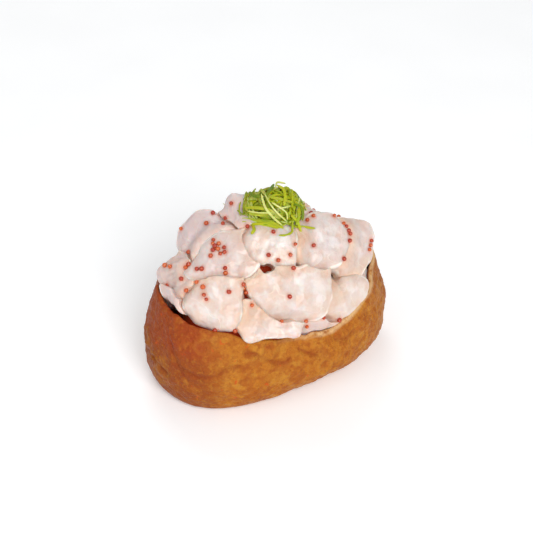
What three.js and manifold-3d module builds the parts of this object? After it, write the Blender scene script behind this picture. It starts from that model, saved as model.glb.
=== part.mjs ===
// Open inari sushi: a boat-shaped pouch of fried tofu, heaped with slices of raw white squid,
// with grains of flying-fish roe on them and a tuft of shredded spring onion on top.
//
// Millimetres, +Z up. The origin is on the surface the sushi stands on, under the middle
// of the pouch. The pouch is long along X, and one slice hangs over its rim on the -Y side.

import * as THREE from "three";
import { mergeVertices } from "three/addons/utils/BufferGeometryUtils.js";
import Module from "manifold-3d";

const wasm = await Module();
wasm.setup();

// ---------------------------------------------------------------- driving dimensions

const GAP = 0.45; // clearance between neighbouring pieces

const POUCH = {
  halfLength: 38,
  halfWidth: 24.4,
  squareness: 2.4, // exponent of the plan oval: 2 is an ellipse, more is boxier
  blunt: 0.026, // how much blunter the -X end is than the +X end
  rimHeight: 24.4, // mean height of the rim
  boat: 5.7, // how far the rim rises at both ends and dips along both sides
  widestAt: 0.41, // height of the widest level, as a share of the rim's height
  footInset: 6.9, // how far the foot is set in under the widest level
  footLean: 3, // how much more it is set in at the front right, and less at the rear left
  footTuck: { depth: 2.5, at: -63, power: 12 }, // and how much more again in one stretch
  rimInset: 3.6, // how far the rim is drawn in
  rimTuck: { depth: 2.2, at: -25, power: 50 }, // how much more it is drawn in in a short stretch
  skin: 1.6, // thickness of the tofu skin
  sides: 48, // facets round it
};

// The mound that fills the pouch and carries the slices. A narrow ditch parts it from the skin.
const MOUND = {
  foot: 16, // height of the ditch's floor
  halfLength: 29,
  halfWidth: 16,
  height: 24, // from its foot to its top
};

// Slices of squid, those lying on top of their neighbours first. Each has its centre, its length,
// width and thickness, its turns about X, Y and Z in degrees, and the squareness of its outline.
// A waist is how much the middle of a slice is drawn in.
const SLICES = {
  upper_middle: { at: [-6, -8.5, 43.5], size: [17.5, 14, 8], turn: [40, 8, -38], corner: 2.8 },
  upper_right: { at: [10, -11.5, 41], size: [16.5, 18, 8], turn: [47, 10, -25], corner: 2.8 },
  middle_left: { at: [-18.5, -4, 41], size: [21.5, 18.5, 8], turn: [41, -13, -32], corner: 3 },
  front_middle: { at: [-5.5, -17, 32.5], size: [26.5, 15, 8], turn: [63, 7, -23], corner: 2.6 },
  front_left: { at: [-25.5, -9, 31.5], size: [19, 14.5, 9], turn: [61, 4, -44], corner: 2.4 },
  hanging: { at: [-14, -20, 27.5], size: [18, 13, 5], turn: [48, -4, -31], corner: 3.4, waist: 0.25 },
  front_right: { at: [12.5, -18, 25], size: [18.5, 14.5, 8], turn: [66, -18, -5], corner: 3.2 },
  back_right: { at: [19.5, -13, 36], size: [13.5, 20, 7], turn: [52, 14, -23], corner: 3.6 },
  left_top: { at: [-17.5, 7.5, 42.5], size: [16.5, 13.5, 8], turn: [23, -27, -14], corner: 2.4 },
  left_low: { at: [-27, 5.5, 36], size: [15.5, 10, 7], turn: [36, -38, -24], corner: 2.4 },
  left_sliver: { at: [-31, 1, 32.3], size: [9, 5, 4], turn: [57, 19, -76], corner: 2.4 },
  back_middle: { at: [-5, 1, 47], size: [18, 17, 7], turn: [41, -1, -36], corner: 5 },
  under_right: { at: [5.5, -18.6, 23.8], size: [18, 11, 5], turn: [68, -3, -14], corner: 2.6 },
  top: { at: [8, 0, 43.5], size: [15, 14, 6], turn: [8, 8, -25], corner: 2.6 },
  end_right: { at: [28, 3.5, 29], size: [16, 18, 7.5], turn: [-5, 60, 5], corner: 2.6 },
  end_right_front: { at: [23.5, -7.5, 26.5], size: [13, 12, 7], turn: [0, 55, -40], corner: 2.6 },
  end_right_top: { at: [20.5, 2, 36], size: [15, 15, 6], turn: [-6, 30, 0], corner: 2.6 },
  rear_middle: { at: [-1, 17, 27], size: [26, 20, 8], turn: [-66, 5, -4], corner: 2.6 },
  rear_left: { at: [-20, 11.5, 28], size: [17, 18, 8], turn: [-54, 0, 34], corner: 2.6 },
  rear_right: { at: [18, 14, 27.5], size: [21, 20, 8], turn: [-60, -8, -22], corner: 2.8 },
  rear_top_left: { at: [-6, 11, 40.5], size: [20, 16, 8], turn: [-38, -5, 6], corner: 2.4 },
  rear_top_right: { at: [10, 9.5, 39.5], size: [20, 17, 8], turn: [-30, 12, -12], corner: 2.6 },
};

const SLICE_EDGE = 2.3; // roundness of a slice's edge: 2 is fully round
const SLICE_PLUMP = 1.03; // makes up for what flat facets take off
const SLICE_LUMPS = 0.035; // unevenness, as a share of the size

// Where the grains of roe lie: millimetres across and up, on a plane that faces an eye at the
// front left. Each grain lies on what the eye sees there.
const FRONT_EYE = { azimuth: -35.4, elevation: 33.6, distance: 400, target: [-0.8, 0.5, 30.6] };
const FRONT_ROE = [
  [-10.1, 18.2], [-15.5, 15.4], [-11.8, 14], [-12.6, 12.3], [-17.3, 12.4], [-24.5, 10.9], [-26, 4.8],
  [-22.3, 4.2], [-15.3, 7.6], [-15.4, 6.6], [-13.8, 6.6], [-14.9, 5.9], [-14, 5.1], [-15.4, 4.8],
  [-12.2, 5.5], [-12.1, 4.2], [-13.3, 3.8], [-16.1, 3.1], [-29.2, 0.3], [-27.7, 0], [-22.3, 0.5],
  [-23.2, -0.4], [-20, -0.7], [-18.6, -0.6], [-24.5, -3.5], [-20, -4.5], [-28.7, -5.6], [-23.2, -6.7],
  [-18.3, -5.8], [-18, -8.2], [-17.3, -9.4], [-11.9, -0.4], [-11.8, -1.8], [-10.8, -7.2], [-6.8, -5.1],
  [-6.2, -6.2], [-5.6, -7.4], [-4.3, -11.1], [-5.6, 11.5], [2, 10], [0.6, 3.3], [3.4, 1.9],
  [6.8, 3.4], [8.2, 6.5], [7.8, -0.4], [13.5, 6.1], [11.8, 13.4], [13.5, 14.6], [19.5, 14.6],
  [22.2, 12.4], [22.9, 11.5], [23.5, 10.4], [24.1, 9.5], [24, 7.5], [22.2, 2.3], [30.2, 7.5],
  [29.9, 6.2], [29.6, 4.9], [6.6, -8.6], [4.3, -15.4], [16.4, -14.7], [12, -15.9], [12.3, -17.1],
  [21, -15.3], [23.7, -14.4], [-14.8, -18.3], [-9.1, -18.3],
];
// Those on the rear lie in small groups, scattered as an eye at the rear right sees them.
const REAR_EYE = { ...FRONT_EYE, azimuth: 144.6 };
const REAR_ROE = { groups: 9, perGroup: 2, halfWidth: 27, low: -12, high: 16, spread: 1.5 };
const ROE_RADIUS = 0.68;
const ROE_SUNK = 0.4; // how deep a grain is pressed in

// The tuft of spring onion, long across the front eye's view.
const TUFT = {
  at: [0, -1.9, 50],
  size: [18.6, 13, 15],
  turn: -35,
  shreds: 8,
  shredLength: 12,
  shredWidth: 1.5,
  shredThickness: 0.6,
};

// ---------------------------------------------------------------- small helpers

const radians = THREE.MathUtils.degToRad;

// A closed geometry of points only, with its shared vertices merged.
function merged(geometry) {
  const bare = geometry.clone();
  bare.deleteAttribute("normal");
  bare.deleteAttribute("uv");
  return mergeVertices(bare, 1e-4);
}

function toSolid(geometry) {
  const { attributes, index } = merged(geometry);
  const mesh = new wasm.Mesh({
    numProp: 3,
    vertProperties: new Float32Array(attributes.position.array),
    triVerts: new Uint32Array(index.array),
  });
  return new wasm.Manifold(mesh);
}

function toGeometry(solid) {
  const { vertProperties, triVerts } = solid.getMesh();
  const geometry = new THREE.BufferGeometry();
  geometry.setAttribute("position", new THREE.BufferAttribute(vertProperties, 3));
  geometry.setIndex(new THREE.BufferAttribute(triVerts, 1));
  return geometry;
}

function largestBody(solid) {
  return solid.decompose().sort((a, b) => b.volume() - a.volume())[0];
}

// Moves every vertex of a geometry to the place that map() gives for it.
function reshape(geometry, map) {
  const { position } = geometry.attributes;
  const point = new THREE.Vector3();
  for (let i = 0; i < position.count; i++) {
    const moved = map(point.fromBufferAttribute(position, i));
    position.setXYZ(i, moved.x, moved.y, moved.z);
  }
  return geometry;
}

// ---------------------------------------------------------------- pouch

function oval(angle, halfLength, halfWidth) {
  const n = POUCH.squareness;
  const along = Math.abs(Math.cos(angle) / halfLength) ** n;
  const across = Math.abs(Math.sin(angle) / halfWidth) ** n;
  return (along + across) ** (-1 / n) * (1 - POUCH.blunt * Math.cos(3 * angle));
}

function rimHeight(angle) {
  const ripple = 0.5 * Math.sin(7 * angle + 1);
  const uneven = 1.1 * Math.sin(3 * angle) - 1.1 * Math.cos(angle) + 0.7 * Math.sin(angle);
  return POUCH.rimHeight + POUCH.boat * Math.cos(2 * angle) + uneven + ripple;
}

// Shallow dents and swellings of the soft skin.
function dent(angle, height) {
  const broad = Math.sin(5 * angle + 0.13 * height) + Math.sin(3 * angle - 0.2 * height + 2);
  return 0.25 * broad + 0.18 * Math.sin(11 * angle + 0.35 * height);
}

// How deep a tuck is at an angle: it is deepest at its own angle, and a higher power is narrower.
function tuck(angle, { depth, at, power }) {
  return depth * Math.max(0, Math.cos(angle - radians(at))) ** power;
}

// Outer radius of the pouch's wall at a height.
function wallRadius(angle, height) {
  const share = height / rimHeight(angle);
  const { widestAt, halfLength, halfWidth } = POUCH;
  const lean = POUCH.footLean * Math.cos(angle + 0.9);
  const footInset = POUCH.footInset + lean + tuck(angle, POUCH.footTuck);
  const rimInset = POUCH.rimInset + tuck(angle, POUCH.rimTuck);
  const above = Math.max(0, (share - widestAt) / (1 - widestAt));
  const below = Math.max(0, (widestAt - share) / widestAt);
  const inset = rimInset * above ** 2 + footInset * (1 - Math.sqrt(1 - below ** 2));
  return oval(angle, halfLength, halfWidth) - inset + dent(angle, height) * Math.min(1, 5 * share);
}

// The pouch's section from the middle of the foot, up the outside, over the rim, down the inside
// and over the mound to its top. Each step is a radius and a height.
function pouchSection(angle, grow) {
  const lip = POUCH.skin / 2;
  const shoulder = rimHeight(angle) - lip;
  const foot = wallRadius(angle, 0) + grow;
  const section = [[0, -grow], [foot * 0.6, -grow], [foot, -grow]];
  for (const share of [0.04, 0.13, 0.26, 0.42, 0.6, 0.8]) {
    section.push([wallRadius(angle, share * shoulder) + grow, share * shoulder]);
  }
  for (const turn of [0, 45, 90, 135, 180]) {
    const outwards = (lip + grow) * Math.cos(radians(turn));
    const height = shoulder + (lip + grow) * Math.sin(radians(turn));
    section.push([wallRadius(angle, shoulder) - lip + outwards, height]);
  }
  const halfway = (shoulder + MOUND.foot) / 2;
  section.push([wallRadius(angle, halfway) - POUCH.skin - grow, halfway]);
  const ditch = wallRadius(angle, MOUND.foot) - POUCH.skin;
  const base = oval(angle, MOUND.halfLength, MOUND.halfWidth) + grow;
  section.push([(ditch + base) / 2, MOUND.foot + grow]);
  for (const turn of [10, 38, 66]) {
    const height = MOUND.foot + (MOUND.height + grow) * Math.sin(radians(turn));
    section.push([base * Math.cos(radians(turn)), height]);
  }
  section.push([0, MOUND.foot + MOUND.height + grow]);
  return section;
}

function pouch(grow = 0) {
  const steps = pouchSection(0, grow).length;
  const ladder = Array.from({ length: steps }, (_, i) => new THREE.Vector2(1, i));
  ladder[0].x = 0;
  ladder[steps - 1].x = 0;
  return reshape(new THREE.LatheGeometry(ladder, POUCH.sides), ({ x, y, z }) => {
    const angle = Math.atan2(-z, x);
    const [radius, height] = pouchSection(angle, grow)[Math.round(y)];
    const reach = Math.hypot(x, z) > 0.5 ? radius : 0;
    return new THREE.Vector3(reach * Math.cos(angle), reach * Math.sin(angle), height);
  });
}

// ---------------------------------------------------------------- squid

// A soft slab with a rounded edge, grown by a clearance on every side where one is given.
function slice({ at, size, turn, corner, waist = 0 }, seed, grow = 0) {
  const [a, b, c] = size.map((s) => s / 2 + grow);
  const [x, y, z] = turn.map(radians);
  const place = new THREE.Matrix4().makeRotationFromEuler(new THREE.Euler(x, y, z, "ZYX"));
  place.setPosition(...at);
  return reshape(new THREE.IcosahedronGeometry(1, 2), (p) => {
    const outline = Math.abs(p.x / a) ** corner + Math.abs(p.y / b) ** corner;
    const reach = (outline ** (SLICE_EDGE / corner) + Math.abs(p.z / c) ** SLICE_EDGE) ** (-1 / SLICE_EDGE);
    const lumps = Math.sin(3 * p.x + seed) * Math.cos(2.6 * p.y + 2 * seed) + Math.sin(4 * p.y - seed);
    p.multiplyScalar(reach * (SLICE_PLUMP + SLICE_LUMPS * lumps));
    p.y *= 1 - waist * (1 - (p.x / a) ** 2) ** 2;
    return p.applyMatrix4(place);
  });
}

// ---------------------------------------------------------------- spring onion

// Repeatable random numbers from 0 to 1.
function draws(seed) {
  let state = seed;
  return () => {
    state = (state * 1664525 + 1013904223) % 4294967296;
    return state / 4294967296;
  };
}

// One shred: a flat strip that lies on the core and bends down round it towards both ends.
function shred(random) {
  const [a, b, c] = TUFT.size.map((s) => s / 2);
  const longitude = 2 * Math.PI * random();
  const latitude = Math.asin(0.05 + 0.9 * random());
  const out = new THREE.Vector3(
    Math.cos(longitude) * Math.cos(latitude),
    Math.sin(longitude) * Math.cos(latitude),
    Math.sin(latitude),
  );
  const middle = out.clone().multiply(new THREE.Vector3(a, b, c));
  const along = new THREE.Vector3(random() - 0.5, random() - 0.5, random() - 0.5);
  along.cross(out).normalize();
  const half = (TUFT.shredLength / 2) * (0.7 + 0.5 * random());
  const curl = 0.25 + 0.5 * random();
  const stations = [-1, -0.5, 0, 0.5, 1].map((t) => {
    const lift = TUFT.shredThickness / 2 - curl * half * t * t;
    return middle.clone().addScaledVector(along, half * t).addScaledVector(out, lift);
  });
  const outline = new THREE.Shape();
  const w = TUFT.shredWidth / 2;
  const h = TUFT.shredThickness / 2;
  outline.moveTo(-h, -w).lineTo(h, -w).lineTo(h, w).lineTo(-h, w).closePath();
  const path = new THREE.CatmullRomCurve3(stations);
  return new THREE.ExtrudeGeometry(outline, { steps: 3, extrudePath: path });
}

function tuft() {
  const half = TUFT.size.map((s) => s / 2);
  const core = reshape(new THREE.IcosahedronGeometry(1, 2), (p) => {
    const lumps = Math.sin(5 * p.x + 1) * Math.cos(4 * p.y) + Math.sin(6 * p.z);
    return p.multiply(new THREE.Vector3(...half)).multiplyScalar(1 + 0.06 * lumps);
  });
  const random = draws(7);
  let body = toSolid(core);
  for (let i = 0; i < TUFT.shreds; i++) {
    body = body.add(toSolid(shred(random)));
  }
  const place = new THREE.Matrix4().makeRotationZ(radians(TUFT.turn));
  return toSolid(toGeometry(body).applyMatrix4(place.setPosition(...TUFT.at)));
}

// ---------------------------------------------------------------- roe

// The ray from an eye through a point across and up on the plane that faces it.
function sight({ azimuth, elevation, distance, target }, [across, up]) {
  const turn = new THREE.Euler(radians(90 - elevation), 0, radians(azimuth), "ZYX");
  const eye = new THREE.Vector3(0, 0, distance).applyEuler(turn);
  const aim = new THREE.Vector3(across, up, 0).applyEuler(turn);
  const direction = aim.sub(eye).normalize();
  return new THREE.Raycaster(eye.add(new THREE.Vector3(...target)), direction);
}

function rearRoe() {
  const random = draws(5);
  const { groups, perGroup, halfWidth, low, high, spread } = REAR_ROE;
  const places = [];
  for (let i = 0; i < groups; i++) {
    const across = (2 * random() - 1) * halfWidth;
    const up = low + random() * (high - low);
    const count = Math.ceil(perGroup * 2 * random());
    for (let k = 0; k < count; k++) {
      places.push([across + spread * (2 * random() - 1), up + spread * (2 * random() - 1)]);
    }
  }
  return places;
}

function grainAt(point, radius) {
  return toSolid(new THREE.IcosahedronGeometry(radius, 0).translate(...point));
}

// ---------------------------------------------------------------- the sushi

const FINISHES = {
  pouch: { color: "#b8722e", roughness: 0.55 },
  squid: { color: "#eadfd8", roughness: 0.35 },
  spring: { color: "#9cb53a", roughness: 0.35 },
};

const bodies = { pouch: toSolid(pouch()) };
let taken = toSolid(pouch(GAP));
Object.entries(SLICES).forEach(([name, spec], seed) => {
  bodies[`squid_${name}`] = largestBody(toSolid(slice(spec, seed)).subtract(taken));
  taken = taken.add(toSolid(slice(spec, seed, GAP)));
});
bodies.spring_onion = largestBody(tuft().subtract(taken));

const sushi = new THREE.Group();
for (const [name, body] of Object.entries(bodies)) {
  const material = new THREE.MeshStandardMaterial({ ...FINISHES[name.split("_")[0]], metalness: 0 });
  const mesh = new THREE.Mesh(toGeometry(body), material);
  mesh.name = name;
  sushi.add(mesh);
}

// Each grain is fused to the slice that it lies on, where it is clear of everything else.
for (const [eye, places] of [[FRONT_EYE, FRONT_ROE], [REAR_EYE, rearRoe()]]) {
  for (const place of places) {
    const [hit] = sight(eye, place).intersectObjects(sushi.children);
    if (!hit || !hit.object.name.startsWith("squid")) {
      continue;
    }
    const centre = hit.point.addScaledVector(hit.face.normal, ROE_RADIUS - ROE_SUNK);
    const room = grainAt(centre, ROE_RADIUS + GAP);
    const others = Object.entries(bodies).filter(([name]) => name !== hit.object.name);
    if (others.every(([, body]) => body.intersect(room).isEmpty())) {
      bodies[hit.object.name] = bodies[hit.object.name].add(grainAt(centre, ROE_RADIUS));
    }
  }
}
for (const mesh of sushi.children) {
  mesh.geometry = toGeometry(bodies[mesh.name]);
}

export default sushi;
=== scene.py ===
"""Open inari sushi: a fried tofu pouch heaped with slices of raw white squid, with grains of
flying-fish roe on them and a tuft of shredded spring onion on top. Metres, +Z up."""

import math
import random

import bmesh
import bpy
import numpy as np
from mathutils import Euler, Matrix, Vector
from mathutils.bvhtree import BVHTree


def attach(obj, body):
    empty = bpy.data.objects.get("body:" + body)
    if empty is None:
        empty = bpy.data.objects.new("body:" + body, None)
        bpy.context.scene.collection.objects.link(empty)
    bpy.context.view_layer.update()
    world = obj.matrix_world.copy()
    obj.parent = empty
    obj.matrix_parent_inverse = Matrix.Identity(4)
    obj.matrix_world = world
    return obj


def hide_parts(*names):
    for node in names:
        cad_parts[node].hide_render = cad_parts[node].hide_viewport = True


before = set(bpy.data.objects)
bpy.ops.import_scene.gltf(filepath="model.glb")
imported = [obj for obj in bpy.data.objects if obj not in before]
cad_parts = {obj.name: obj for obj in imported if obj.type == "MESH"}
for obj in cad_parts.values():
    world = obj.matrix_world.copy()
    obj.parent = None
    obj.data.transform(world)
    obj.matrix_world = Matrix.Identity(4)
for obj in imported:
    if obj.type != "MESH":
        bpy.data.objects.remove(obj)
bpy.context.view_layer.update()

MM = 0.001

# ---------------------------------------------------------------- camera
# A short telephoto lens, looking down on the front left of the sushi from 0.4 m away.

CAMERA_AZIMUTH = math.radians(-35.38)
CAMERA_ELEVATION = math.radians(33.64)
CAMERA_DISTANCE = 0.4004
CAMERA_TARGET = Vector((-0.77, 0.54, 30.6)) * MM

camera_turn = Euler((math.pi / 2 - CAMERA_ELEVATION, 0, CAMERA_AZIMUTH))
camera_place = CAMERA_TARGET + camera_turn.to_matrix() @ Vector((0, 0, CAMERA_DISTANCE))
bpy.ops.object.camera_add(location=camera_place, rotation=camera_turn)
camera = bpy.context.object
camera.name = "camera"
camera.data.sensor_width = 36
camera.data.lens = 93.72
bpy.context.scene.camera = camera

# ---------------------------------------------------------------- tofu pouch
# A pouch of thin deep-fried tofu, simmered in a sweet soy stock and opened into a boat. Its skin
# is golden brown, finely blistered and wrinkled, its cut rim is pale, and its inside is wet and
# dark. It is drawn up ring by ring: from the foot up the outside, over the rim and down the
# inside to the filling that carries the slices.

HALF_LENGTH = 38
HALF_WIDTH = 24.4
SKIN = 1.4
POUCH_SIDES = 360
FOOT_STEPS = 22
WALL_STEPS = 28
LIP_STEPS = 10
INSIDE_STEPS = 18
MOUND_STEPS = 20
MOUND_FOOT = 16
MOUND_HALF_LENGTH = 29
MOUND_HALF_WIDTH = 16
MOUND_HEIGHT = 24
WIDEST_AT = 0.41
OVAL_POWER = 2.4
RIM_HEIGHT = 24.4
RIM_SWAY = 5.7
FOOT_INSET = 6.9
FOOT_LEAN = 3
FOOT_TUCK = 2.5
RIM_INSET = 3.6
RIM_TUCK = 2.2


def deselect():
    for thing in bpy.context.selected_objects:
        thing.select_set(False)


def oval(angle, half_length, half_width):
    along = abs(np.cos(angle) / half_length) ** OVAL_POWER
    across = abs(np.sin(angle) / half_width) ** OVAL_POWER
    return (along + across) ** (-1 / OVAL_POWER) * (1 - 0.026 * np.cos(3 * angle))


def rim_height(angle):
    ripple = 0.5 * np.sin(7 * angle + 1)
    uneven = 1.1 * np.sin(3 * angle) - 1.1 * np.cos(angle) + 0.7 * np.sin(angle)
    ragged = 0.22 * np.sin(17 * angle + 2) + 0.16 * np.sin(31 * angle)
    return RIM_HEIGHT + RIM_SWAY * np.cos(2 * angle) + uneven + ripple + ragged


def dent(angle, height):
    broad = np.sin(5 * angle + 0.13 * height) + np.sin(3 * angle - 0.2 * height + 2)
    return 0.25 * broad + 0.18 * np.sin(11 * angle + 0.35 * height)


def tuck(angle, towards, sharpness):
    """How near an angle is to the direction of a tuck: 1 in it and 0 away from it."""
    return np.maximum(0, np.cos(angle - math.radians(towards))) ** sharpness


def wall_radius(angle, height):
    share = height / rim_height(angle)
    foot_inset = FOOT_INSET + FOOT_LEAN * np.cos(angle + 0.9) + FOOT_TUCK * tuck(angle, -63, 12)
    rim_inset = RIM_INSET + RIM_TUCK * tuck(angle, -25, 50)
    above = np.maximum(0, (share - WIDEST_AT) / (1 - WIDEST_AT))
    below = np.clip((WIDEST_AT - share) / WIDEST_AT, 0, 1)
    inset = rim_inset * above**2 + foot_inset * (1 - np.sqrt(1 - below**2))
    fading = np.minimum(1, 5 * share)
    return oval(angle, HALF_LENGTH, HALF_WIDTH) - inset + dent(angle, height) * fading


def pouch_rings():
    """What each ring is and how far along its stretch it lies, from the foot to the mound's top."""
    rings = [("foot", share) for share in (0.01, 0.2, 0.4, 0.6, 0.75, 0.87, 0.95)]
    rings += [("belly", i / FOOT_STEPS) for i in range(FOOT_STEPS)]
    rings += [("wall", i / WALL_STEPS) for i in range(WALL_STEPS)]
    rings += [("lip", i / LIP_STEPS) for i in range(LIP_STEPS + 1)]
    rings += [("inside", i / INSIDE_STEPS) for i in range(1, INSIDE_STEPS)]
    rings += [("ditch", share) for share in (0.25, 0.5, 0.75)]
    rings += [("mound", i / MOUND_STEPS) for i in range(MOUND_STEPS)]
    return rings + [("mound", 0.998)]


def ring_place(stretch, share, angle):
    """A ring's radius and height at an angle round the pouch."""
    lip = SKIN / 2
    shoulder = rim_height(angle) - lip
    base = oval(angle, MOUND_HALF_LENGTH, MOUND_HALF_WIDTH)
    ditch = wall_radius(angle, MOUND_FOOT + 1) - SKIN
    if stretch == "foot":
        return wall_radius(angle, 0) * share, 0
    if stretch == "belly":
        height = WIDEST_AT * (1 - math.cos(share * math.pi / 2)) * shoulder
        return wall_radius(angle, height), height
    if stretch == "wall":
        height = (WIDEST_AT + (1 - WIDEST_AT) * share) * shoulder
        return wall_radius(angle, height), height
    if stretch == "lip":
        middle = wall_radius(angle, shoulder) - lip
        turn = share * math.pi
        return middle + lip * math.cos(turn), shoulder + lip * math.sin(turn)
    if stretch == "inside":
        height = shoulder + (MOUND_FOOT + 1 - shoulder) * share
        return wall_radius(angle, height) - SKIN, height
    if stretch == "ditch":
        return ditch + (base - ditch) * share, MOUND_FOOT + 1 - math.sin(share * math.pi)
    turn = share * math.pi / 2
    return base * math.cos(turn), MOUND_FOOT + MOUND_HEIGHT * math.sin(turn)


deselect()
bpy.ops.mesh.primitive_circle_add(vertices=POUCH_SIDES, radius=MM)
tofu = bpy.context.object
tofu.name = "tofu_pouch"
bpy.ops.object.mode_set(mode="EDIT")
for number, (stretch, share) in enumerate(pouch_rings()):
    if number:
        bpy.ops.mesh.extrude_region_move()
    tofu_mesh = bmesh.from_edit_mesh(tofu.data)
    for vert in tofu_mesh.verts:
        if vert.select:
            angle = math.atan2(vert.co.y, vert.co.x)
            radius, height = ring_place(stretch, share, angle)
            vert.co = Vector((radius * math.cos(angle), radius * math.sin(angle), height)) * MM
# The last ring closes at the top of the mound, and the first in the middle of the foot.
bpy.ops.mesh.merge(type="CENTER")
tofu_mesh = bmesh.from_edit_mesh(tofu.data)
for vert in tofu_mesh.verts:
    vert.select = vert.co.z < 0.1 * MM and vert.co.xy.length < 2 * MM
tofu_mesh.select_flush_mode()
bpy.ops.mesh.merge(type="CENTER")
bpy.ops.mesh.select_all(action="SELECT")
bpy.ops.mesh.normals_make_consistent(inside=False)
bpy.ops.object.mode_set(mode="OBJECT")


def points_of(piece):
    flat = np.empty(len(piece.data.vertices) * 3)
    piece.data.vertices.foreach_get("co", flat)
    return flat.reshape(-1, 3)


def move_points(piece, points):
    piece.data.vertices.foreach_set("co", points.ravel())
    piece.data.update()


def paint(piece, name, values):
    """Stores one number for each vertex, for a material to read."""
    layer = piece.data.attributes.new(name, "FLOAT", "POINT")
    layer.data.foreach_set("value", np.array(values, np.float32))


# The parts of the pouch that differ in finish: its rim, its wet inside, and how much relief its
# skin has, which fades out at the foot that it stands on.
LIP_REACH = 1.4
INSIDE_FROM = 8
RELIEF_FADES_OVER = 3

tofu_points = points_of(tofu) / MM
levels = tofu_points[:, 2]
angles = np.arctan2(tofu_points[:, 1], tofu_points[:, 0])
radii = np.hypot(tofu_points[:, 0], tofu_points[:, 1])
shoulders = rim_height(angles) - SKIN / 2
from_rim = np.hypot(radii - wall_radius(angles, shoulders) + SKIN / 2, levels - shoulders)
inner = wall_radius(angles, np.minimum(levels, shoulders)) - SKIN / 2 - radii
lip_mask = np.clip(1 - from_rim / LIP_REACH, 0, 1) * (levels > shoulders - 1)
inside_mask = np.clip(inner / 0.5, 0, 1) * (levels > INSIDE_FROM)
relief_share = np.clip((levels - 0.2) / RELIEF_FADES_OVER, 0, 1)
paint(tofu, "lip", lip_mask)
paint(tofu, "inside", inside_mask)
relief = tofu.vertex_groups.new(name="relief")
for number, share in enumerate(relief_share):
    relief.add([number], share, "REPLACE")

# Creases and round blisters in the skin, by angle in degrees and height, and more of both at
# random round the rest of it.
CREASES = [
    "-139,20.5 -134,19.5 -129,17.5 -122,15 -116,14.2 -111,15",
    "-165,16 -158,13.8 -151,15 -146,17.2 -141,17",
    "-104,16.5 -97,14.5 -90,13",
    "-172,23 -169,18 -164,13",
    "-74,15.5 -66,14.5 -59,16",
]
CREASE_WIDTH = 0.55
CREASE_DEPTH = 0.5
BLISTERS = [(-126, 19.6, 2.6), (-156, 24, 2), (-86, 9, 2.4), (-176, 12, 2)]
BLISTER_RISE = 0.35
MORE_MARKS = 14
MEAN_RADIUS = 30

marks = random.Random(8)
for _ in range(MORE_MARKS):
    at, level = marks.uniform(-50, 180), marks.uniform(6, 20)
    steps = [(at + 5 * k, level + marks.uniform(-1.2, 1.2)) for k in range(4)]
    CREASES.append(" ".join(f"{turn:.1f},{height:.1f}" for turn, height in steps))
    BLISTERS.append((marks.uniform(-50, 180), marks.uniform(5, 20), marks.uniform(1.4, 2.8)))


def places_of(text):
    return np.array([[float(n) for n in place.split(",")] for place in text.split()])


def distance_to(places, corners):
    """How far each place lies from a line through the corners."""
    nearest = np.full(len(places), np.inf)
    for start, end in zip(corners[:-1], corners[1:]):
        way = end - start
        share = np.clip((places - start) @ way / (way @ way), 0, 1)
        nearest = np.minimum(nearest, np.linalg.norm(places - start - np.outer(share, way), axis=1))
    return nearest


def unrolled(turns, heights, middle):
    """Places on the skin in millimetres, unrolled from the side opposite a middle angle."""
    from_middle = np.radians((turns - middle + 180) % 360 - 180)
    return np.array([from_middle * MEAN_RADIUS, heights]).T


turns = np.degrees(angles)
crease_mask = np.zeros(len(turns))
ring_mask = np.zeros(len(turns))
spot_mask = np.zeros(len(turns))
for text in CREASES:
    corners = places_of(text)
    middle = corners[0, 0]
    away = distance_to(unrolled(turns, levels, middle), unrolled(*corners.T, middle))
    crease_mask = np.maximum(crease_mask, np.exp(-((away / CREASE_WIDTH) ** 2)))
for turn, height, size in BLISTERS:
    away = np.linalg.norm(unrolled(turns, levels, turn) - (0, height), axis=1) / size
    spot_mask = np.maximum(spot_mask, np.exp(-((away / 0.7) ** 4)))
    ring_mask = np.maximum(ring_mask, np.exp(-((away - 1) ** 2) / 0.05))
outside = 1 - inside_mask
for name, mask in {"crease": crease_mask, "ring": ring_mask, "spot": spot_mask}.items():
    paint(tofu, name, mask * outside)
rise = BLISTER_RISE * (ring_mask - 0.5 * spot_mask) - CREASE_DEPTH * crease_mask
rise *= outside * relief_share
outwards = tofu_points * (1, 1, 0) / np.maximum(radii, 1)[:, None]
move_points(tofu, (tofu_points + outwards * rise[:, None]) * MM)

# Relief of the skin all over: broad swellings, wrinkles and small blisters. Each has its size and
# its depth in millimetres.
SKIN_RELIEF = {
    "skin_swellings": ("CLOUDS", 6, 0.8),
    "skin_wrinkles": ("CLOUDS", 2.2, 0.55),
    "skin_blisters": ("VORONOI", 1.1, 0.3),
}


def apply(piece, modifier):
    bpy.context.view_layer.objects.active = piece
    bpy.ops.object.modifier_apply(modifier=modifier.name)


def emboss(piece, patterns, vertex_group=""):
    """Pushes a surface in and out by each of these patterns in turn."""
    for name, (kind, size, depth) in patterns.items():
        pattern = bpy.data.textures.get(name) or bpy.data.textures.new(name, kind)
        pattern.noise_scale = size * MM
        push = piece.modifiers.new(name, "DISPLACE")
        push.texture = pattern
        push.texture_coords = "LOCAL"
        push.strength = depth * MM
        push.mid_level = 0.5
        push.vertex_group = vertex_group
        apply(piece, push)


emboss(tofu, SKIN_RELIEF, "relief")
bpy.ops.object.shade_smooth()


def put(tree, kind, **values):
    """A new node with its inputs set, by plain value or by a link from another node's socket."""
    node = tree.nodes.new("ShaderNode" + kind)
    for label, value in values.items():
        socket = node.inputs[int(label[1:]) if label[0] == "i" else label.replace("_", " ")]
        if isinstance(value, bpy.types.NodeSocket):
            tree.links.new(value, socket)
        else:
            socket.default_value = value
    return node


def math_node(tree, operation, a, b):
    node = put(tree, "Math", i0=a, i1=b)
    node.operation = operation
    return node.outputs[0]


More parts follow.
